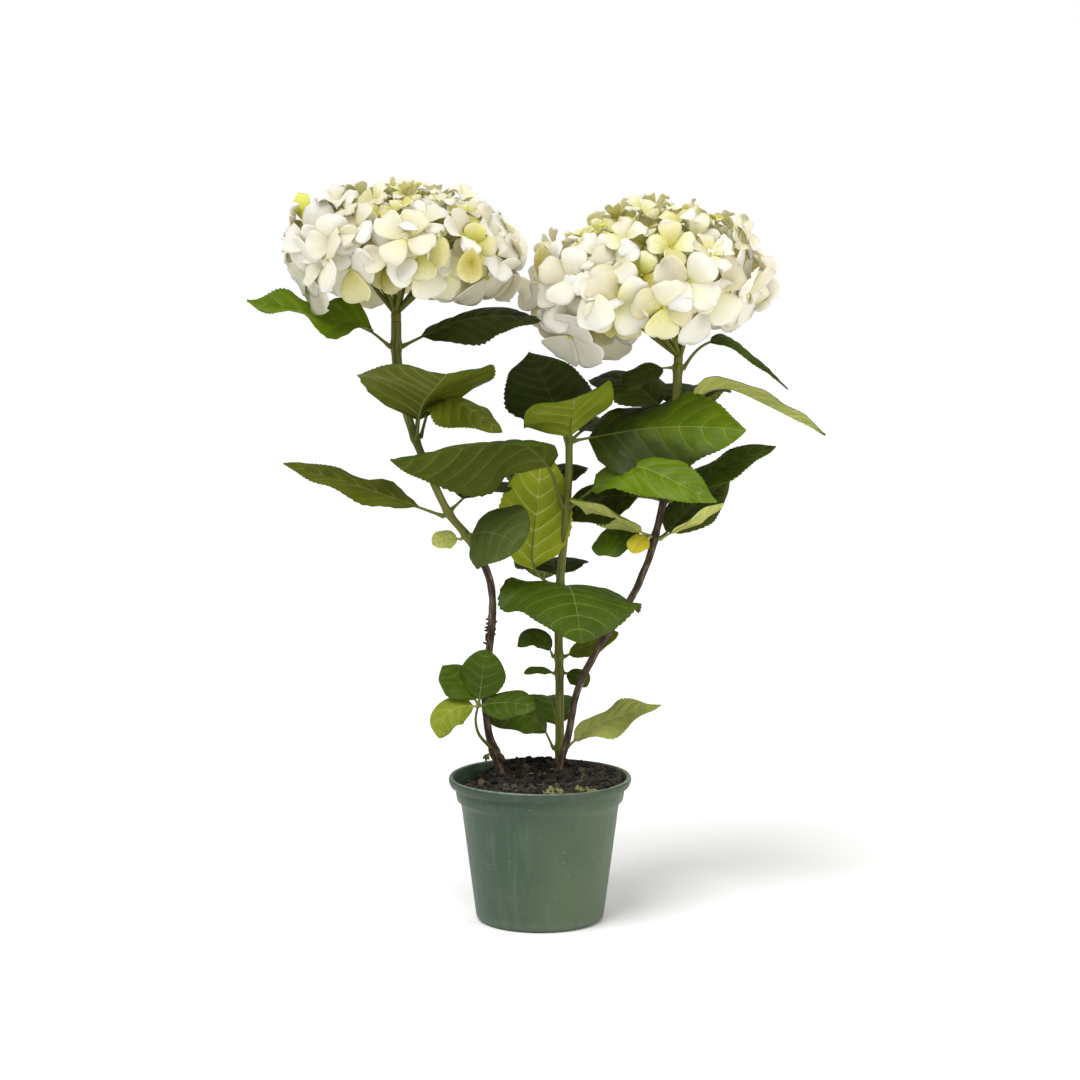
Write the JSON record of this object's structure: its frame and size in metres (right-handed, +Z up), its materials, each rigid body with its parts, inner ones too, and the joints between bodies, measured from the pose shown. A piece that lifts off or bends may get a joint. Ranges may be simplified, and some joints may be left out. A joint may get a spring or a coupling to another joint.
{
  "type": "potted hydrangea plant",
  "caption": "Potted bigleaf hydrangea: slender stems from one crown, broad toothed leaves in pairs and round white mophead flower heads above a tapering green plastic nursery pot.",
  "frame": {"origin": "centre of the pot's flat underside", "axes": "+Z up along the pot's axis, -Y towards the side seen in the picture, +X to the right of that view"},
  "size_m": [0.5114, 0.2641, 0.663],
  "materials": {
    "pot_plastic": "satin green nursery pot plastic, worn pale along the lip",
    "soil": "crumbly dark moist potting mix",
    "bark": "thin brown bark with pale streaks, green on the young shoots",
    "leaf": "soft satin leaf, paler underneath",
    "petal": "matte white petals, cream to yellow-green near the top"
  },
  "bodies": {
    "root": {"pot": "pot_plastic", "potting_soil": "soil", "left_stem": "bark", "middle_stem": "bark", "right_stem": "bark", "left_top_leaves": "leaf", "left_upper_leaves": "leaf", "left_middle_leaves": "leaf", "left_lower_leaves": "leaf", "left_foot_spray": "leaf", "middle_top_leaves": "leaf", "middle_upper_leaves": "leaf", "middle_lower_leaves": "leaf", "middle_small_leaves": "leaf", "middle_tiny_leaves": "leaf", "middle_foot_leaves": "leaf", "right_top_leaves": "leaf", "right_high_leaves": "leaf", "right_middle_leaves": "leaf", "right_lower_leaves": "leaf", "left_flower_head": "petal", "right_flower_head": "petal"}
  },
  "joints": []
}
